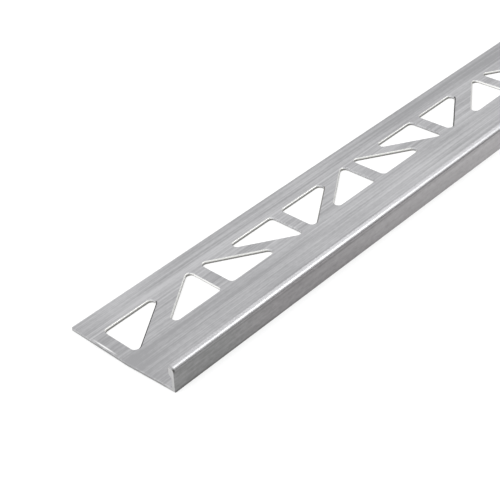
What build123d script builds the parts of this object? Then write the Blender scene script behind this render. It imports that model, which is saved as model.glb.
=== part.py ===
from build123d import *
import os
from math import atan2, radians, sin, tan

# A bar of aluminium edge trim for tiles, all sizes in millimetres.
# It is one extrusion: a leg that stands at the tile's edge, and a wide punched flange for the mortar.
# X runs along the bar, the leg is at -Y, and the flange's underside lies on Z = 0.

# Bar
bar_length = 1000.0
trim_height = 6.0
flange_width = 31.7
flange_thickness = 0.75

# Leg, with a thicker head whose underside slopes back to the thin wall
leg_thickness = 1.0
head_width = 1.7
head_depth = 1.9
head_slope = 45.0

# Rounded corners of the section
top_outer_radius = 0.95
top_inner_radius = 0.25
foot_outer_radius = 0.3
foot_inner_radius = 0.5
flange_edge_radius = 0.2

# Punched holes: right triangles, measured to their sharp corners before rounding
hole_length = 16.25
hole_width = 11.05
hole_corner_radius = 1.1
hole_row_start = 15.2
hole_row_depth = 10.0
strut_width = 3.1
first_hole_from_end = 3.5
last_hole_from_end = 3.5

# Press: it punches this many holes at a stroke, and then feeds the bar on a little too far.
# The extra feed is larger and smaller by turns, and some strokes fall nearer to the leg.
holes_before_first_stroke = 1
holes_in_stroke = 8
stroke_gap = 1.8
stroke_gap_swing = 0.5
stroke_side_shift = 0.75

# Faces of the bar
near_end = -bar_length / 2
far_end = bar_length / 2
outer_face = -flange_width / 2
back_edge = flange_width / 2
leg_inner_face = outer_face + leg_thickness
head_inner_face = outer_face + head_width
head_bottom = trim_height - head_depth
slope_bottom = head_bottom - (head_width - leg_thickness) * tan(radians(head_slope))

# Lines that the holes' long legs lie on, and the spacing of the holes along the bar.
# Two holes stand foot to foot across a slanting strut, and straight struts part such pairs.
front_line = outer_face + hole_row_start
back_line = front_line + hole_row_depth
slant = atan2(hole_width, hole_length)
pair_length = 2 * hole_length - hole_row_depth / tan(slant) + strut_width / sin(slant)
pair_pitch = pair_length + strut_width


def hole_place(number):
    """Place of a hole's square corner, and which way its legs run along and across the bar."""
    pair, is_far_hole = divmod(number, 2)
    strokes = (number - holes_before_first_stroke) // holes_in_stroke + 1
    extra_feed = strokes * stroke_gap + strokes % 2 * stroke_gap_swing
    side_shift = stroke_side_shift if strokes % 4 == 2 else 0
    # The slanting struts of neighbouring pairs lean opposite ways
    on_back_line = is_far_hole == pair % 2
    pair_start = near_end + first_hole_from_end + pair * pair_pitch + extra_feed
    corner_x = pair_start + is_far_hole * pair_length
    corner_y = (back_line if on_back_line else front_line) - side_shift
    along = -1 if is_far_hole else 1
    across = -1 if on_back_line else 1
    return corner_x, corner_y, along, across


with BuildPart() as edge_trim:
    # Section: flange, leg and head in one outline
    with BuildSketch(Plane.YZ.offset(near_end)) as section:
        with BuildLine():
            Polyline(
                (outer_face, 0),
                (back_edge, 0),
                (back_edge, flange_thickness),
                (leg_inner_face, flange_thickness),
                (leg_inner_face, slope_bottom),
                (head_inner_face, head_bottom),
                (head_inner_face, trim_height),
                (outer_face, trim_height),
                close=True,
            )
        make_face()
        for corner, radius in (
            ((outer_face, 0), foot_outer_radius),
            ((back_edge, 0), flange_edge_radius),
            ((back_edge, flange_thickness), flange_edge_radius),
            ((leg_inner_face, flange_thickness), foot_inner_radius),
            ((head_inner_face, trim_height), top_inner_radius),
            ((outer_face, trim_height), top_outer_radius),
        ):
            fillet(section.vertices().sort_by_distance(corner).first, radius)
    extrude(amount=bar_length)

    # Holes punched down through the flange, as many as the bar has room for
    with BuildSketch() as holes:
        for number in range(2 * int(bar_length // pair_pitch)):
            corner_x, corner_y, along, across = hole_place(number)
            hole_end = max(corner_x, corner_x + along * hole_length)
            if hole_end > far_end - last_hole_from_end:
                break
            with Locations((corner_x, corner_y)):
                Polygon((0, 0), (along * hole_length, 0), (0, across * hole_width))
        fillet(holes.vertices(), hole_corner_radius)
    extrude(amount=flange_thickness, mode=Mode.SUBTRACT)

edge_trim.part.label = "edge_trim"
os.makedirs("parts", exist_ok=True)
export_step(edge_trim.part, "parts/edge_trim.step")
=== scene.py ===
from math import atan2, cos, pi, radians, sin, tan

import bmesh
import bpy
import numpy as np
from mathutils import Euler, Matrix, Vector


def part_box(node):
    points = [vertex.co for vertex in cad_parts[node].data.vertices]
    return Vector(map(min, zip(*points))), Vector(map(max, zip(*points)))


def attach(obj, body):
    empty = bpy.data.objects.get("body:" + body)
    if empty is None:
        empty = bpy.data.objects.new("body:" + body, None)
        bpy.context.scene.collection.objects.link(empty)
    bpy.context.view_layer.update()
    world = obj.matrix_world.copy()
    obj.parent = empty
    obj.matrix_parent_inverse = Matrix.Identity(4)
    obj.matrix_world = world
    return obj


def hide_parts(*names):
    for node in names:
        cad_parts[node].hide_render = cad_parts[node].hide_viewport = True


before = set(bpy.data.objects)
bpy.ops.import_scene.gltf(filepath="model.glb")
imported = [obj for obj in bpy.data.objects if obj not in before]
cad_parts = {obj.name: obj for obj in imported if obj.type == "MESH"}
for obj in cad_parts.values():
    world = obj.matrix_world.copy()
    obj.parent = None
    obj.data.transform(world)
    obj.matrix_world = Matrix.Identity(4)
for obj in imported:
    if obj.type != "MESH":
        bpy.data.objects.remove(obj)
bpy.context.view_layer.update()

# The section of the bar
# The trim is an aluminium extrusion, pushed hot through a die, so one outline runs its whole length.
# The tile stands on the flange against the rounded head of the leg, and the head covers the tile's edge.
mm = 0.001
low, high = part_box("edge_trim")
near_end, far_end = low.x, high.x
outer_face, back_edge = low.y, high.y
underside, trim_top = low.z, high.z

flange_thickness = 0.75 * mm
leg_thickness = 1.0 * mm
head_width = 1.7 * mm
head_depth = 1.9 * mm
head_slope = radians(45)
top_outer_radius = 0.95 * mm
top_inner_radius = 0.12 * mm
undercut_radius = 0.12 * mm
land_fall = 0.2 * mm
foot_outer_radius = 0.18 * mm
foot_inner_radius = 0.5 * mm
flange_edge_radius = 0.2 * mm
section_arc_steps = 8
edge_margin = 0.08 * mm

flange_top = underside + flange_thickness
leg_inner_face = outer_face + leg_thickness
head_inner_face = outer_face + head_width
head_bottom = trim_top - head_depth
slope_bottom = head_bottom - (head_width - leg_thickness) * tan(head_slope)

# Corners as across and up, and the radius of each, in the order in which the die's edge is walked.
# The first six are the leg's, and the last two are the flange's back edge.
section_corners = (
    (leg_inner_face, flange_top, foot_inner_radius),
    (leg_inner_face, slope_bottom, undercut_radius),
    (head_inner_face, head_bottom, undercut_radius),
    (head_inner_face, trim_top, top_inner_radius),
    (outer_face, trim_top - land_fall, top_outer_radius),
    (outer_face, underside, foot_outer_radius),
    (back_edge, underside, flange_edge_radius),
    (back_edge, flange_top, flange_edge_radius),
)
leg_corners = 6


def round_corners(corners, steps):
    """Arcs that round an outline's corners: their centres, radii, outward normals and side of the material.

    A centre lies on its corner's bisector, at the radius over the sine of half the inside angle.
    The normals turn in equal steps from one side's to the next side's. A convex corner bends the
    outline about its centre, and a concave one bends it the other way, so its normals point inwards.
    """
    points = np.array([corner[:2] for corner in corners])
    radii = np.array([corner[2] for corner in corners])
    back = np.roll(points, 1, axis=0) - points
    on = np.roll(points, -1, axis=0) - points
    back /= np.linalg.norm(back, axis=1, keepdims=True)
    on /= np.linalg.norm(on, axis=1, keepdims=True)
    bisector = back + on
    bisector /= np.linalg.norm(bisector, axis=1, keepdims=True)
    half_angle = np.arccos(np.clip((back * on).sum(axis=1), -1, 1)) / 2
    centres = points + bisector * (radii / np.sin(half_angle))[:, None]
    # A side's outward normal is its direction turned a quarter to the right
    start = np.arctan2(back[:, 0], -back[:, 1])
    end = np.arctan2(-on[:, 0], on[:, 1])
    turn = (end - start + pi) % (2 * pi) - pi
    angles = start[:, None] + turn[:, None] * np.linspace(0, 1, steps + 1)
    normals = np.stack([np.cos(angles), np.sin(angles)], axis=-1)
    return centres[:, None], radii[:, None, None], normals, np.sign(turn)[:, None, None]


def section_outline(corners, steps, margin):
    """Points and outward normals of the rounded section, one row for each corner.

    Each row is a short straight, the corner's arc and another short straight, so that the shading
    of an arc ends at the straight and doesn't run out over the flat face beside it.
    """
    centres, radii, normals, side = round_corners(corners, steps)
    arcs = centres + normals * radii * side
    onwards = np.stack([-normals[..., 1], normals[..., 0]], axis=-1)
    before = arcs[:, :1] - onwards[:, :1] * margin
    after = arcs[:, -1:] + onwards[:, -1:] * margin
    points = np.concatenate([before, arcs, after], axis=1)
    normals = np.concatenate([normals[:, :1], normals, normals[:, -1:]], axis=1)
    return points, normals


corner_points, corner_normals = section_outline(section_corners, section_arc_steps, edge_margin)

# The holes in the flange
# Mortar squeezes up through them and holds the trim. A press punches them from above, eight at a
# stroke, which rolls their upper edges over, and feeds the bar on a little unevenly between strokes.
hole_length = 16.25 * mm
hole_width = 11.05 * mm
hole_corner_radius = 1.1 * mm
hole_row_start = 15.2 * mm
hole_row_depth = 10.0 * mm
strut_width = 3.1 * mm
first_hole_from_end = 3.5 * mm
last_hole_from_end = 3.5 * mm
holes_before_first_stroke = 1
holes_in_stroke = 8
stroke_gap = 1.8 * mm
stroke_gap_swing = 0.5 * mm
stroke_side_shift = 0.75 * mm
hole_arc_steps = 8

front_line = outer_face + hole_row_start
back_line = front_line + hole_row_depth
slant = atan2(hole_width, hole_length)
pair_length = 2 * hole_length - hole_row_depth / tan(slant) + strut_width / sin(slant)
pair_pitch = pair_length + strut_width

# Where each hole's square corner lies, and which way its two straight sides run along and across the
# bar. Two holes stand foot to foot across a slanting strut, and neighbouring pairs lean opposite ways.
# There are as many as the bar has room for.
number = np.arange(2 * int((far_end - near_end) // pair_pitch))
pair, is_far_hole = np.divmod(number, 2)
strokes = (number - holes_before_first_stroke) // holes_in_stroke + 1
extra_feed = strokes * stroke_gap + strokes % 2 * stroke_gap_swing
side_shift = np.where(strokes % 4 == 2, stroke_side_shift, 0)
pair_start = near_end + first_hole_from_end + pair * pair_pitch + extra_feed
hole_x = pair_start + is_far_hole * pair_length
hole_y = np.where(is_far_hole == pair % 2, back_line, front_line) - side_shift
along = np.where(is_far_hole, -1, 1)
across = np.where(is_far_hole == pair % 2, -1, 1)
fits = np.maximum(hole_x, hole_x + along * hole_length) < far_end - last_hole_from_end
number, hole_x, hole_y, along, across = (
    values[fits] for values in (number, hole_x, hole_y, along, across)
)
is_mirrored = along * across < 0

# The strip of the flange that the holes lie in, cut into one cell for each hole
strip_margin = 0.9 * mm
strip_front = front_line - stroke_side_shift - strip_margin
strip_back = back_line + strip_margin
strip_edges = np.array([strip_front, strip_back])


def cell_borders():
    """Where each cell of the strip starts and ends along the bar, at the strip's front and back edges.

    A border is the middle of a strut: halfway between the sides of the two holes that face each
    other across it, drawn out to the strip's edges. The first and last are straight across the bar.
    """
    reach = 1 - (strip_edges - hole_y[:, None]) * across[:, None] / hole_width
    straight = np.repeat(hole_x[:, None], 2, axis=1)
    slanted = straight + along[:, None] * hole_length * reach
    starts = np.where(along[:, None] > 0, straight, slanted)
    ends = np.where(along[:, None] > 0, slanted, straight)
    middles = (ends[:-1] + starts[1:]) / 2
    return np.vstack([starts[:1] - strut_width / 2, middles, ends[-1:] + strut_width / 2])


borders = cell_borders()

# A punched edge has a rolled upper edge, a sheared wall, and a break at the foot, where the metal
# tears a little wider. The punch stands a little off the middle of its die. On the slack side of a
# hole the roll is large and the break is high, and on the tight side both are small.
small_roll, large_roll = 0.08 * mm, 0.2 * mm
low_break, high_break = 0.15 * mm, 0.5 * mm
break_width = 0.05 * mm
slack_side = radians(90)
slack_power = 1.5
roll_steps = 5
roll_turn = np.linspace(0, pi / 2, roll_steps + 1)

# The large rolls on the slack side are burnished bright. In every second pair the punches lean
# towards the slanting strut, so the rolls along it are large, and the near one is painted darker and
# duller, as painted shade for the dark that it mirrors.
slanting_wall = pi / 2 - slant
rolled_spread = radians(35)

# The first punch of the press is sharp, and leaves its wall at the far side bright. The others are
# worn, and leave theirs dull. In the last one's holes that darker roll is painted near black, as
# painted shade.
is_fresh = number % holes_in_stroke == holes_before_first_stroke
is_blunt = number % holes_in_stroke == 0
far_side = radians(0)
far_spread = radians(35)

# The finishes, in the order of the materials, and the finish of each band of a cell from the top
# down: the top and the margin of the roll, the roll, the wall, the break, and the underside.
mill_finish, sawn, sheared, torn, roll_shade, fresh = range(6)
top_finishes = [mill_finish] * (2 + roll_steps)
band_finishes = np.array(top_finishes + [sheared, torn, mill_finish, mill_finish])
rolled_bands = slice(1, len(top_finishes))
wall_band = len(top_finishes)


def hole_outline():
    """Centres of the corner arcs and outward normals, for each point round a hole.

    They are measured from the hole's square corner, along its long and its short straight side.
    """
    triangle = ((0, 0), (hole_length, 0), (0, hole_width))
    corners = [(*corner, hole_corner_radius) for corner in triangle]
    centres, _, normals, _ = round_corners(corners, hole_arc_steps)
    return np.broadcast_to(centres, normals.shape).reshape(-1, 2), normals.reshape(-1, 2)


arc_centres, wall_normals = hole_outline()


def facing(side):
    """How nearly each hole's walls stand on a side: 1 on it, 0 square to it and -1 opposite it."""
    return (
        along[:, None] * wall_normals[:, 0] * cos(side)
        + across[:, None] * wall_normals[:, 1] * sin(side)
    )


def edge_wear():
    """How much slack, and how much lean of the punch towards the slanting strut, each wall of each hole
    has, from 0 to 1.

    The slack grows with how nearly the wall stands on the slack side, to a power. The lean falls
    with the cosine of the angle from the slanting wall, to nothing at the rolled spread.
    """
    slack = np.clip(facing(slack_side), 0, 1) ** slack_power
    on_slant = wall_normals @ (cos(slanting_wall), sin(slanting_wall))
    least = cos(rolled_spread)
    strut_lean = np.clip((on_slant - least) / (1 - least), 0, 1) * is_mirrored[:, None]
    return slack, strut_lean


def punched_edge(slack, strut_lean):
    """Steps of the edge from the top down, as outwards from the wall and up from the underside."""
    roll = (small_roll + (large_roll - small_roll) * np.maximum(slack, strut_lean))[..., None]
    tear = (low_break + (high_break - low_break) * slack)[..., None]
    foot = np.zeros_like(roll)
    outwards = np.concatenate([
        roll + edge_margin, roll * (1 - np.sin(roll_turn)),
        foot, foot + break_width, foot + break_width + edge_margin,
    ], axis=-1)
    up = np.concatenate([
        foot + flange_thickness, flange_thickness - roll * (1 - np.cos(roll_turn)),
        tear, foot, foot,
    ], axis=-1)
    return outwards, up


def cell_corners():
    """Places along and across the bar of the cell's corner that each point round a hole is joined to.

    The square corner's arc is joined to the cell's corner beside it, and the arc at the long side's
    end to the next one. The last arc is shared by the two corners at the other edge of the strip.
    """
    arc_points = hole_arc_steps + 1
    half_arc = arc_points // 2
    shares = [arc_points, arc_points, half_arc, arc_points - half_arc]
    side = np.where(along > 0, 0, 1)[:, None] ^ np.repeat([0, 1, 1, 0], shares)
    edge = np.where(across > 0, 0, 1)[:, None] ^ np.repeat([0, 0, 1, 1], shares)
    cell = np.arange(len(number))[:, None]
    return borders[cell + side, edge], strip_edges[edge]


def cell_points(slack, strut_lean):
    """One grid of points for each hole: round its outline, and from its cell's top to its underside.

    Each row of a grid is the rounded triangle at one step of the punched edge: the corner arcs'
    centres, plus their normals times the corner radius with that step's distance outwards.
    The first and last rows gather at the four corners of the cell, on the top and the underside.
    """
    outwards, up = punched_edge(slack, strut_lean)
    rings = arc_centres[:, None] + wall_normals[:, None] * (hole_corner_radius + outwards)[..., None]
    x = hole_x[:, None, None] + along[:, None, None] * rings[..., 0]
    y = hole_y[:, None, None] + across[:, None, None] * rings[..., 1]
    walls = np.stack([x, y, underside + up], axis=-1)
    corner_x, corner_y = cell_corners()
    rim, foot = (
        np.stack([corner_x, corner_y, np.full(corner_x.shape, level)], axis=-1)[:, :, None]
        for level in (flange_top, underside)
    )
    return np.concatenate([rim, walls, foot], axis=2)


def cell_finishes(strut_lean):
    """The finish of every face of the cells: one row for each band, with a face for each point round it."""
    finishes = np.tile(band_finishes[:, None], (len(number), 1, strut_lean.shape[1]))
    on_rolls, on_walls = finishes[:, rolled_bands], finishes[:, wall_band]
    is_bright = facing(slack_side) > cos(rolled_spread)
    # Rolled edges along the slanting strut are painted shade: near black in the last punch's holes, and
    # torn-dark in the others.
    is_shaded_roll = (strut_lean > 0) & (along > 0)[:, None]
    roll_shade_finish = np.where(is_blunt, roll_shade, torn)[:, None, None]
    is_far = facing(far_side) > cos(far_spread)
    on_rolls[:] = np.where(is_bright[:, None], sheared, on_rolls)
    on_rolls[:] = np.where(is_shaded_roll[:, None], roll_shade_finish, on_rolls)
    on_walls[:] = np.where(is_far, np.where(is_fresh[:, None], fresh, mill_finish), on_walls)
    return finishes


def hole_cells():
    """Points and finishes of all cells.

    A mirrored hole is walked the other way round, so that all faces point out of the metal.
    """
    slack, strut_lean = edge_wear()
    cells, finishes = cell_points(slack, strut_lean), cell_finishes(strut_lean)
    cells[is_mirrored] = cells[is_mirrored, ::-1]
    finishes[is_mirrored] = finishes[is_mirrored, :, ::-1]
    return cells, finishes


# The cut ends
# The bar was cut with a blade that drifted: the cut runs straight over the flange, eases inwards
# towards the leg and leans back up the leg. Its edges keep a very small bevel.
cut_bevel = 0.18 * mm
cut_drift = 0.8 * mm
cut_drift_reach = 12.5 * mm
cut_lean = 0.45 * mm
back_corner_radius = 0.4 * mm
bevel_steps = 3
bevel_turn = np.linspace(pi / 2, 0, bevel_steps + 1)
bevel_along = cut_bevel * (1 - np.sin(bevel_turn))
bevel_inset = cut_bevel * (1 - np.cos(bevel_turn))


def cut_drawn_in(y, z):
    """How far the near cut lies inside the bar's end.

    The drift grows evenly towards the leg's outer face, the lean grows evenly up the leg, and the
    back corner is a quarter of a circle.
    """
    nearness = np.clip(1 - (y - outer_face) / cut_drift_reach, 0, 1)
    lean = cut_lean * nearness * (z - underside) / (trim_top - underside)
    corner = np.clip(1 - (back_edge - y) / back_corner_radius, 0, 1)
    rounding = back_corner_radius * (1 - np.sqrt(1 - corner**2))
    return cut_drift * nearness + lean + rounding


# The bar in one piece
# The leg and the back of the flange are carried along the bar, the cells with their holes lie between
# them, and the two cuts close the ends. It is one closed surface, as the real trim is one extrusion.
def bar_outline():
    """Points and normals of the section, as two open runs: round the leg, and round the back edge.

    Both start and end at the strip of the holes, the leg's on the top and the back edge's underneath.
    """
    up, down = (0, 1), (0, -1)
    leg = np.vstack([(strip_front, flange_top), *corner_points[:leg_corners], (strip_front, underside)])
    back = np.vstack([(strip_back, underside), *corner_points[leg_corners:], (strip_back, flange_top)])
    leg_normals = np.vstack([up, *corner_normals[:leg_corners], down])
    back_normals = np.vstack([down, *corner_normals[leg_corners:], up])
    return leg, back, leg_normals, back_normals


def along_bar(x, points):
    """A grid of points: the outline's points, across and up, at each place along the bar."""
    x = np.broadcast_to(np.asarray(x, float).reshape(len(x), -1), (len(x), points.shape[-2]))
    yz = np.broadcast_to(points, (*x.shape, 2))
    return np.concatenate([x[..., None], yz], axis=-1)


def bar_grids(cells):
    """The grids of points that make the bar's surface, each with whether it closes on itself.

    First come the near end, from its cut to the first cell, and the far end, from the last cell to
    its cut. Each cut's bevel is the outline, drawn in along its normals while it turns the edge.
    """
    leg, back, leg_normals, back_normals = bar_outline()
    outline = np.vstack([leg, back])
    normals = np.vstack([leg_normals, back_normals])
    bevelled = outline - normals * bevel_inset[:, None, None]
    drawn_in = cut_drawn_in(bevelled[..., 0], bevelled[..., 1])
    near_cut = along_bar(near_end + bevel_along[:, None] + drawn_in, bevelled)
    far_cut = along_bar(far_end - bevel_along, bevelled)
    return [
        (np.concatenate([near_cut, along_bar(borders[:1, 0], outline)]), True),
        (np.concatenate([along_bar(borders[-1:, 0], outline), far_cut[::-1]]), True),
        (along_bar(borders[:, 0], leg), False),
        (along_bar(borders[:, 1], back), False),
        *((cell.transpose(1, 0, 2), True) for cell in cells),
    ]


def grid_faces(rows, columns, is_closed, first):
    """Four-cornered faces between the neighbours of a grid whose points are numbered from first."""
    index = first + np.arange(rows * columns).reshape(rows, columns)
    if is_closed:
        index = np.hstack([index, index[:, :1]])
    corners = index[:-1, :-1], index[1:, :-1], index[1:, 1:], index[:-1, 1:]
    return np.stack(corners, axis=-1).reshape(-1, 4)


def build_trim():
    """The whole bar as one mesh: the faces of all grids with their finishes, and the two cut faces."""
    cells, finishes_of_cells = hole_cells()
    grids = bar_grids(cells)
    points = [grid.reshape(-1, 3) for grid, _ in grids]
    firsts = np.cumsum([0] + [len(part) for part in points])
    faces = np.vstack([
        grid_faces(*grid.shape[:2], is_closed, first)
        for (grid, is_closed), first in zip(grids, firsts)
    ])
    # The cut faces are filled inside the first ring of the first grid and the last ring of the second
    near_ring = np.arange(grids[0][0].shape[1])
    far_ring = near_ring + firsts[2] - len(near_ring)
    mesh = bpy.data.meshes.new("extruded_trim")
    mesh.from_pydata(np.vstack(points), [], faces.tolist() + [near_ring.tolist(), far_ring.tolist()])
    plain = np.full(len(faces) - finishes_of_cells.size, mill_finish)
    finishes = np.concatenate([plain, finishes_of_cells.ravel(), [sawn, sawn]])
    mesh.polygons.foreach_set("material_index", finishes.astype(np.int32))
    return mesh


trim_mesh = build_trim()

# Points that neighbouring grids share are joined, which closes the mesh
shared_point_distance = 0.0005 * mm
smooth_angle = radians(32)
joined = bmesh.new()
joined.from_mesh(trim_mesh)
bmesh.ops.remove_doubles(joined, verts=joined.verts, dist=shared_point_distance)
bmesh.ops.recalc_face_normals(joined, faces=joined.faces)
joined.to_mesh(trim_mesh)
joined.free()
trim_mesh.shade_smooth()
trim_mesh.set_sharp_from_angle(angle=smooth_angle)
trim = bpy.data.objects.new("extruded_trim", trim_mesh)
bpy.context.scene.collection.objects.link(trim)


# Mill finish aluminium
# The metal is left as it came from the die, with no brushing or coating. The die drags fine lines
# along the bar, which scatter light across it, so each face shows soft lengthwise streaks.
skin_greys = "#A6A6A8", "#CCCCCE"
# The shown face of the leg is painted darker than the rest of the skin: painted shade for the darker
# surroundings that it mirrors.
shown_face_shade_greys = "#7C7A7B", "#AFADAE"
# Painted shade: the shadow along the foot of the shown face, and the dark at the cut's edge on the head.
painted_shade_colour = "#4C4C4A"
# Painted highlight: the glint of the burr beside the near cut.
glint_colour = "#FFFFFF"

# Streaks as width, length along the bar, detail and weight: hair lines and fine lines, broader bands,
# and clouds where the metal dragged. The pits are streaks too short to be seen as lines. Real die
# lines are finer than 0.1 mm. Here they are as coarse as they need to be to show in the render.
streaks = (
    (0.3 * mm, 50 * mm, 3.0, 0.85),
    (0.4 * mm, 70 * mm, 3.0, 0.8),
    (1.5 * mm, 100 * mm, 2.0, 0.55),
    (4.0 * mm, 20 * mm, 3.0, 0.4),
)
pits = ((0.3 * mm, 1.2 * mm, 1.0, 0.25),)
leg_streak_share = 0.27
swell_length = 260 * mm
swell_lowest = near_end + 5 * mm
score_depth = 0.008 * mm
dark_roughness, light_roughness = 0.46, 0.32


def linear(hex_colour):
    """An sRGB colour, written as #RRGGBB, as the linear numbers that shaders use."""
    channels = np.array([int(hex_colour[i:i + 2], 16) for i in (1, 3, 5)]) / 255
    curved = np.where(channels <= 0.04045, channels / 12.92, ((channels + 0.055) / 1.055) ** 2.4)
    return (*curved, 1.0)


def add_node(tree, kind, inputs, **settings):
    """Adds a node with its settings. Each input is a value, or another node's output to link to."""
    node = tree.nodes.new(kind)
    for name, value in settings.items():
        setattr(node, name, value)
    for name, value in inputs.items():
        if isinstance(value, bpy.types.NodeSocket):
            tree.links.new(value, node.inputs[name])
        else:
            node.inputs[name].default_value = value
    return node


def start_material(name):
    """A material with no nodes yet."""
    material = bpy.data.materials.new(name)
    material.use_nodes = True
    material.node_tree.nodes.clear()
    return material, material.node_tree


def drawn_noise(tree, position, patterns):
    """The weighted sum of noises that are stretched along the bar, as a number around zero.

    One light and dark pair of a noise takes up twice its width.
    """
    total = -sum(weight for *_, weight in patterns) / 2
    for width, length, detail, weight in patterns:
        scale = (1 / length, 1 / (2 * width), 1 / (2 * width))
        stretched = add_node(tree, "ShaderNodeMapping", {"Vector": position, "Scale": scale})
        noise = add_node(
            tree, "ShaderNodeTexNoise",
            {"Vector": stretched.outputs["Vector"], "Scale": 1.0, "Detail": detail, "Roughness": 0.6},
        )
        total = add_node(
            tree, "ShaderNodeMath", {0: noise.outputs["Fac"], 1: weight, 2: total},
            operation="MULTIPLY_ADD",
        ).outputs[0]
    return total


def soft_line(tree, place, middle, half_width, strength):
    """A line or a patch: the strength at its middle, fading smoothly to zero at its sides."""
    offset = add_node(tree, "ShaderNodeMath", {0: place, 1: middle}, operation="SUBTRACT").outputs[0]
    distance = add_node(tree, "ShaderNodeMath", {0: offset}, operation="ABSOLUTE").outputs[0]
    return add_node(
        tree, "ShaderNodeMapRange",
        {"Value": distance, "From Min": 0.0, "From Max": half_width, "To Min": strength, "To Max": 0.0},
        interpolation_type="SMOOTHSTEP",
    ).outputs["Result"]


def near_share(tree, place, full_to, gone_from):
    """1 beside the near end, falling evenly to 0 between two distances from it."""
    return add_node(
        tree, "ShaderNodeMapRange",
        {
            "Value": place["X"], "From Min": near_end + full_to, "From Max": near_end + gone_from,
            "To Min": 1.0, "To Max": 0.0,
        },
    ).outputs["Result"]


def together(tree, *tones):
    """The sum of several tones, as marks that lie over one another add up."""
    total, *others = tones
    for tone in others:
        total = add_node(tree, "ShaderNodeMath", {0: total, 1: tone}, operation="ADD").outputs[0]
    return total


def overlap(tree, *shares):
    """The product of several shares, as a mark is full only where all of them are."""
    common, *others = shares
    for share in others:
        common = add_node(tree, "ShaderNodeMath", {0: common, 1: share}, operation="MULTIPLY").outputs[0]
    return common


def slow_swell(tree, place):
    """A tone that rises and falls along the bar as a sine, lowest just inside the near end. On the leg it
    is painted shade.
    """
    rate = 2 * pi / swell_length
    turn = add_node(
        tree, "ShaderNodeMath", {0: place["X"], 1: rate, 2: -pi / 2 - rate * swell_lowest},
        operation="MULTIPLY_ADD",
    ).outputs[0]
    return add_node(tree, "ShaderNodeMath", {0: turn}, operation="SINE").outputs[0]


def flange_marks(tree, place, swell, on_flange):
    """Marks on the upper side: three lines from the die behind the holes, and four dull patches.

    The patches are a strip beside the near cut, one before the holes, one on the head, and a long one
    behind the holes. The one on the head is painted shade, which dims its highlight near the near end.
    Behind the holes the swell runs the other way from the leg's.
    """
    swell_behind = add_node(
        tree, "ShaderNodeMapRange",
        {
            "Value": place["Y"], "From Min": back_line - 2 * mm, "From Max": back_line + 2 * mm,
            "To Min": 0.0, "To Max": -0.15,
        },
    ).outputs["Result"]
    beside_cut = near_share(tree, place, full_to=0.0, gone_from=9 * mm)
    before_holes = overlap(
        tree,
        soft_line(tree, place["Y"], middle=front_line - 2.2 * mm, half_width=2.9 * mm, strength=-0.26),
        near_share(tree, place, full_to=55 * mm, gone_from=65 * mm),
    )
    # Painted shade on the head, dimming its highlight near the near end.
    shaded_head = overlap(
        tree,
        soft_line(tree, place["Y"], middle=outer_face + 0.8 * mm, half_width=1.2 * mm, strength=-0.12),
        near_share(tree, place, full_to=5 * mm, gone_from=30 * mm),
    )
    behind_holes = overlap(
        tree,
        soft_line(tree, place["Y"], middle=back_line + 2.15 * mm, half_width=1.7 * mm, strength=-0.24),
        soft_line(tree, place["X"], middle=near_end + 53 * mm, half_width=45 * mm, strength=1.0),
    )
    return together(
        tree,
        soft_line(tree, place["Y"], middle=back_line + 0.25 * mm, half_width=0.5 * mm, strength=0.15),
        soft_line(tree, place["Y"], middle=back_line + 2.85 * mm, half_width=0.7 * mm, strength=-0.08),
        soft_line(tree, place["Y"], middle=back_line + 4.65 * mm, half_width=0.5 * mm, strength=-0.1),
        overlap(tree, swell, swell_behind),
        overlap(tree, on_flange, beside_cut, -0.17),
        before_holes,
        shaded_head,
        behind_holes,
    )


def leg_shading(tree, place, swell):
    """Painted light and shade on the shown face of the leg: the swell, and two lines.

    The swell is painted shade, darkest just inside the near end. A light one lies low on the rounding as a
    painted sheen and fades out along the bar, and a dark one lies under it.
    """
    # A painted sheen low on the rounding. On this face the swell is painted shade, darkest near the near
    # end.
    painted_sheen_line = overlap(
        tree,
        soft_line(tree, place["Z"], middle=trim_top - 0.65 * mm, half_width=0.4 * mm, strength=0.35),
        near_share(tree, place, full_to=40 * mm, gone_from=90 * mm),
    )
    return together(
        tree,
        overlap(tree, swell, 0.35),
        painted_sheen_line,
        soft_line(tree, place["Z"], middle=trim_top - 1.2 * mm, half_width=0.4 * mm, strength=-0.2),
    )


def painted_foot_shadow(tree, place, on_shown_face):
    """The share of painted shadow along the foot of the shown face, where it meets the floor, fading out
    along the bar.
    """
    return overlap(
        tree,
        soft_line(tree, place["Z"], middle=underside + 0.1 * mm, half_width=0.7 * mm, strength=0.75),
        near_share(tree, place, full_to=0.0, gone_from=65 * mm),
        on_shown_face,
    )


def cut_edge_shade(tree, place):
    """1 on the edge of the near cut at the head's rounding, painted dark as painted shade that ends the
    highlight there.

    It fades out a little inside the bar, down the leg and towards the tile. The cut's place along
    the bar is its drift, with its lean growing up the leg.
    """
    cut = add_node(
        tree, "ShaderNodeMath",
        {0: place["Z"], 1: cut_lean / (trim_top - underside), 2: near_end + cut_drift},
        operation="MULTIPLY_ADD",
    ).outputs[0]
    depth = add_node(tree, "ShaderNodeMath", {0: place["X"], 1: cut}, operation="SUBTRACT").outputs[0]
    beside_cut = add_node(
        tree, "ShaderNodeMapRange",
        {"Value": depth, "From Min": 0.2 * mm, "From Max": 0.4 * mm, "To Min": 1.0, "To Max": 0.0},
    ).outputs["Result"]
    shaded_head = add_node(
        tree, "ShaderNodeMapRange",
        {"Value": place["Z"], "From Min": trim_top - 1.2 * mm, "From Max": trim_top - 0.6 * mm},
    ).outputs["Result"]
    on_rounding = add_node(
        tree, "ShaderNodeMapRange",
        {
            "Value": place["Y"], "From Min": outer_face + 0.2 * mm,
            "From Max": outer_face + 0.7 * mm, "To Min": 1.0, "To Max": 0.25,
        },
    ).outputs["Result"]
    return overlap(tree, beside_cut, shaded_head, on_rounding)


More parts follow.
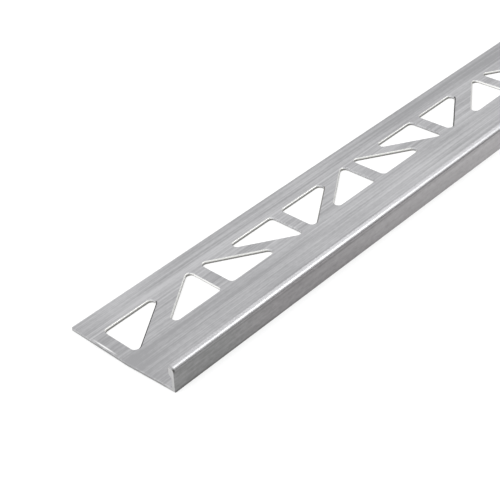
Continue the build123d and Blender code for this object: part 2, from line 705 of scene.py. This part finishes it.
def burr_glint(tree, place):
    """1 on a painted highlight on the flange just inside the near cut: the glint of a burr left by the
    blade.
    """
    return overlap(
        tree,
        soft_line(tree, place["X"], middle=near_end + 0.43 * mm, half_width=0.3 * mm, strength=1.0),
        soft_line(tree, place["Y"], middle=outer_face + 21.15 * mm, half_width=5.0 * mm, strength=1.2),
    )


def skin_tone(tree, position, place, swell):
    """Light and dark of the skin as a number around zero: streaks, pits and the flange's marks.

    The die polishes the leg and its head, so the streaks there are fainter.
    """
    on_flange = add_node(
        tree, "ShaderNodeMapRange",
        {"Value": place["Y"], "From Min": head_inner_face, "From Max": head_inner_face + 0.5 * mm},
    ).outputs["Result"]
    streak_share = add_node(
        tree, "ShaderNodeMapRange", {"Value": on_flange, "To Min": leg_streak_share, "To Max": 1.0}
    ).outputs["Result"]
    return together(
        tree,
        overlap(tree, drawn_noise(tree, position, streaks), streak_share),
        drawn_noise(tree, position, pits),
        flange_marks(tree, place, swell, on_flange),
    )


def shown_face_shade_colour(tree, place, shade):
    """Greys of the shown face of the leg, painted darker than the skin as painted shade, whose faint warm
    tint starts a little way in from the cut.
    """
    dark, light = shown_face_shade_greys
    grey = add_node(
        tree, "ShaderNodeMix", {"Factor": shade, "A": linear(dark), "B": linear(light)}, data_type="RGBA"
    ).outputs["Result"]
    tint = add_node(
        tree, "ShaderNodeMapRange",
        {"Value": place["X"], "From Min": near_end + 14 * mm, "From Max": near_end + 30 * mm},
    ).outputs["Result"]
    return add_node(tree, "ShaderNodeHueSaturation", {"Color": grey, "Saturation": tint}).outputs["Color"]


def skin_colour(tree, place, swell, tone):
    """Greys of the skin by its tone, with painted shade over them on the shown face, along its foot and at
    the cut's edge on the head, and a painted highlight for the burr.
    """
    shade = add_node(
        tree, "ShaderNodeMapRange", {"Value": tone, "From Min": -0.25, "From Max": 0.25}
    ).outputs["Result"]
    leg_shade = together(tree, shade, leg_shading(tree, place, swell))
    is_shown_face = add_node(
        tree, "ShaderNodeMapRange",
        {
            "Value": place["Y"], "From Min": outer_face + 0.1 * mm,
            "From Max": outer_face + 0.45 * mm, "To Min": 1.0, "To Max": 0.0,
        },
    ).outputs["Result"]
    dark, light = skin_greys
    colour = linear(dark)
    for share, over in (
        (shade, linear(light)),
        (is_shown_face, shown_face_shade_colour(tree, place, leg_shade)),
        (painted_foot_shadow(tree, place, is_shown_face), linear(painted_shade_colour)),
        (cut_edge_shade(tree, place), linear(painted_shade_colour)),
        (burr_glint(tree, place), linear(glint_colour)),
    ):
        colour = add_node(
            tree, "ShaderNodeMix", {"Factor": share, "A": colour, "B": over}, data_type="RGBA"
        ).outputs["Result"]
    return colour


def mill_finish_aluminium():
    """Bare extruded aluminium: grey, half matt, with streaks in its tone and in its gloss."""
    material, tree = start_material("mill_finish_aluminium")
    position = add_node(tree, "ShaderNodeTexCoord", {}).outputs["Object"]
    place = add_node(tree, "ShaderNodeSeparateXYZ", {"Vector": position}).outputs
    swell = slow_swell(tree, place)
    tone = skin_tone(tree, position, place, swell)
    gloss = add_node(
        tree, "ShaderNodeMapRange",
        {
            "Value": tone, "From Min": -0.5, "From Max": 0.5,
            "To Min": dark_roughness, "To Max": light_roughness,
        },
    ).outputs["Result"]
    scored = add_node(
        tree, "ShaderNodeBump", {"Strength": 1.0, "Distance": score_depth, "Height": tone}
    ).outputs["Normal"]
    colour = skin_colour(tree, place, swell, tone)
    metal = add_node(
        tree, "ShaderNodeBsdfPrincipled",
        {"Base Color": colour, "Metallic": 1.0, "Roughness": gloss, "Normal": scored},
    ).outputs["BSDF"]
    add_node(tree, "ShaderNodeOutputMaterial", {"Surface": metal})
    return material


trim_mesh.materials.append(mill_finish_aluminium())

# The sawn ends
# The blade leaves the bare metal duller than the skin from the die, with fine lines that run up the
# cut. Real ones are finer, and these are as coarse as they need to be to show.
sawn_greys = "#ADADAD", "#CFCFCF"
# Painted shade under the burr's painted glint, on the near cut.
notch_shade_colour = "#565652"
tooth_width = 0.12 * mm
tooth_length = 2.0 * mm
tooth_depth = 0.01 * mm


def notch_shade(tree, place):
    """1 in a dark line of painted shade on the near cut, under the burr's painted glint."""
    bar_middle = (near_end + far_end) / 2
    is_near_cut = add_node(
        tree, "ShaderNodeMath", {0: place["X"], 1: bar_middle}, operation="LESS_THAN"
    ).outputs[0]
    return overlap(
        tree,
        soft_line(tree, place["Z"], middle=underside + 0.5 * mm, half_width=0.25 * mm, strength=1.0),
        soft_line(tree, place["Y"], middle=outer_face + 21.35 * mm, half_width=5.0 * mm, strength=1.0),
        is_near_cut,
    )


def sawn_aluminium():
    """Aluminium cut with a blade: matt, with fine lines that run up the face, and a line of painted shade
    on the near cut.
    """
    material, tree = start_material("sawn_aluminium")
    position = add_node(tree, "ShaderNodeTexCoord", {}).outputs["Object"]
    place = add_node(tree, "ShaderNodeSeparateXYZ", {"Vector": position}).outputs
    scale = (1 / tooth_width, 1 / tooth_width, 1 / tooth_length)
    stretched = add_node(tree, "ShaderNodeMapping", {"Vector": position, "Scale": scale}).outputs["Vector"]
    teeth = add_node(
        tree, "ShaderNodeTexNoise", {"Vector": stretched, "Scale": 1.0, "Detail": 3.0}
    ).outputs["Fac"]
    dark, light = sawn_greys
    colour = linear(dark)
    for share, over in ((teeth, linear(light)), (notch_shade(tree, place), linear(notch_shade_colour))):
        colour = add_node(
            tree, "ShaderNodeMix", {"Factor": share, "A": colour, "B": over}, data_type="RGBA"
        ).outputs["Result"]
    scored = add_node(
        tree, "ShaderNodeBump", {"Strength": 1.0, "Distance": tooth_depth, "Height": teeth}
    ).outputs["Normal"]
    metal = add_node(
        tree, "ShaderNodeBsdfPrincipled",
        {"Base Color": colour, "Metallic": 1.0, "Roughness": 0.5, "Normal": scored},
    ).outputs["BSDF"]
    add_node(tree, "ShaderNodeOutputMaterial", {"Surface": metal})
    return material


trim_mesh.materials.append(sawn_aluminium())


# The edges of the holes
# The punch shears the bare metal, and tears it off at the foot. Sheared metal is bright, torn metal is
# dull, and some rolled edges are painted dark, as painted shade.
def plain_aluminium(name, hex_colour, roughness):
    """Bare aluminium of one tone, for surfaces too small to show a pattern."""
    material, tree = start_material(name)
    metal = add_node(
        tree, "ShaderNodeBsdfPrincipled",
        {"Base Color": linear(hex_colour), "Metallic": 1.0, "Roughness": roughness},
    ).outputs["BSDF"]
    add_node(tree, "ShaderNodeOutputMaterial", {"Surface": metal})
    return material


def sheared_aluminium():
    """Wall that the punch cut and burnished: bright and half matt."""
    return plain_aluminium("sheared_aluminium", "#D6D6D4", 0.4)


def torn_aluminium():
    """Break at the foot, where the metal tore off: coarse, so dull and dark."""
    return plain_aluminium("torn_aluminium", "#848380", 0.6)


def roll_shade_aluminium():
    """Rolled edge painted dark and matt, as painted shade for the dark that it mirrors."""
    return plain_aluminium("roll_shade_aluminium", "#464646", 0.6)


def freshly_sheared_aluminium():
    """Wall that the sharp punch cut: clean, so brighter than the other walls."""
    return plain_aluminium("freshly_sheared_aluminium", "#F4F4F2", 0.4)


for edge_finish in (sheared_aluminium, torn_aluminium, roll_shade_aluminium, freshly_sheared_aluminium):
    trim_mesh.materials.append(edge_finish())
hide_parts("edge_trim")
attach(trim, "root")

# The floor
# Matt white paper under the bar. Half of what the camera and the metal see of it is plain white, so it
# shows white, apart from the soft shadow that the bar leaves beside its leg and in its holes.
floor_half_size = 25.0
plain_white_share = 0.5


def matt_paper():
    """White paper with no gloss, mixed with plain white for what is seen or mirrored."""
    material, tree = start_material("matt_paper")
    paper = add_node(tree, "ShaderNodeBsdfDiffuse", {"Color": linear("#F6F6F6")}).outputs["BSDF"]
    white = add_node(
        tree, "ShaderNodeEmission", {"Color": linear("#FFFFFF"), "Strength": 1.0}
    ).outputs["Emission"]
    ray = add_node(tree, "ShaderNodeLightPath", {}).outputs
    is_seen = together(tree, ray["Is Camera Ray"], ray["Is Glossy Ray"], ray["Is Transmission Ray"])
    white_share = overlap(tree, is_seen, plain_white_share)
    mixed = add_node(tree, "ShaderNodeMixShader", {0: white_share, 1: paper, 2: white}).outputs["Shader"]
    add_node(tree, "ShaderNodeOutputMaterial", {"Surface": mixed})
    return material


floor_mesh = bpy.data.meshes.new("floor")
floor_corners = [
    (x * floor_half_size, y * floor_half_size, underside)
    for x, y in ((-1, -1), (1, -1), (1, 1), (-1, 1))
]
floor_mesh.from_pydata(floor_corners, [], [(0, 1, 2, 3)])
floor_mesh.materials.append(matt_paper())
floor = bpy.data.objects.new("floor", floor_mesh)
bpy.context.scene.collection.objects.link(floor)

# Light
# An even sky that is darker low down and towards the far end, and three large soft boxes far off. The
# overhead one, which hangs towards the far end, makes the bright line on the rounded head.
sky_greys = "#707070", "#F6F6F6"
sky_tilt = -0.25
sky_dark_height, sky_light_height = -0.1, 0.42

world = bpy.data.worlds.new("studio")
world.use_nodes = True
sky = world.node_tree
direction = add_node(sky, "ShaderNodeTexCoord", {}).outputs["Generated"]
bearing = add_node(sky, "ShaderNodeSeparateXYZ", {"Vector": direction}).outputs
sky_height = add_node(
    sky, "ShaderNodeMath", {0: bearing["X"], 1: sky_tilt, 2: bearing["Z"]}, operation="MULTIPLY_ADD"
).outputs[0]
sky_rise = add_node(
    sky, "ShaderNodeMapRange",
    {"Value": sky_height, "From Min": sky_dark_height, "From Max": sky_light_height},
    interpolation_type="SMOOTHSTEP",
).outputs["Result"]
sky_colour = add_node(
    sky, "ShaderNodeMix",
    {"Factor": sky_rise, "A": linear(sky_greys[0]), "B": linear(sky_greys[1])},
    data_type="RGBA",
).outputs["Result"]
sky.links.new(sky_colour, sky.nodes["Background"].inputs["Color"])
bpy.context.scene.world = world

lit_point = Vector((near_end + 100 * mm, 0, 0))
soft_box_distance = 8.0


def soft_box(name, azimuth, elevation, width, height, watts):
    """A rectangular lamp that faces the lit point. Azimuth 0 is the leg's side, and 90 the far end's."""
    lamp = bpy.data.lights.new(name, "AREA")
    lamp.shape = "RECTANGLE"
    lamp.size = width
    lamp.size_y = height
    lamp.energy = watts
    lamp_object = bpy.data.objects.new(name, lamp)
    turn = Euler((radians(90 - elevation), 0, radians(azimuth))).to_matrix().to_4x4()
    away = Matrix.Translation((0, 0, soft_box_distance))
    lamp_object.matrix_world = Matrix.Translation(lit_point) @ turn @ away
    lamp_object.visible_camera = False
    bpy.context.scene.collection.objects.link(lamp_object)


soft_box("overhead_soft_box", azimuth=82, elevation=57, width=6.0, height=2.8, watts=186)
soft_box("end_soft_box", azimuth=-100, elevation=48, width=9.0, height=6.0, watts=190)
soft_box("front_soft_box", azimuth=-45, elevation=42, width=9.0, height=6.0, watts=156)

# Camera
# It looks down along the bar from a quarter of a metre in front of its near end, through a long
# lens, and the bar runs off to the right.
camera_place = Vector((near_end - 100.158 * mm, -152.974 * mm, 158.197 * mm))
camera_azimuth, camera_elevation, camera_roll = -42.303, 36.513, -6.344
camera_data = bpy.data.cameras.new("camera")
camera_data.sensor_width = 36
camera_data.lens = 84.32
camera_data.clip_start = 0.01
camera = bpy.data.objects.new("camera", camera_data)
camera_turn = (
    Euler((radians(90 - camera_elevation), 0, radians(camera_azimuth))).to_matrix()
    @ Matrix.Rotation(radians(camera_roll), 3, "Z")
)
camera.matrix_world = Matrix.Translation(camera_place) @ camera_turn.to_4x4()
bpy.context.scene.collection.objects.link(camera)
bpy.context.scene.camera = camera
bpy.context.scene.view_settings.view_transform = "Standard"
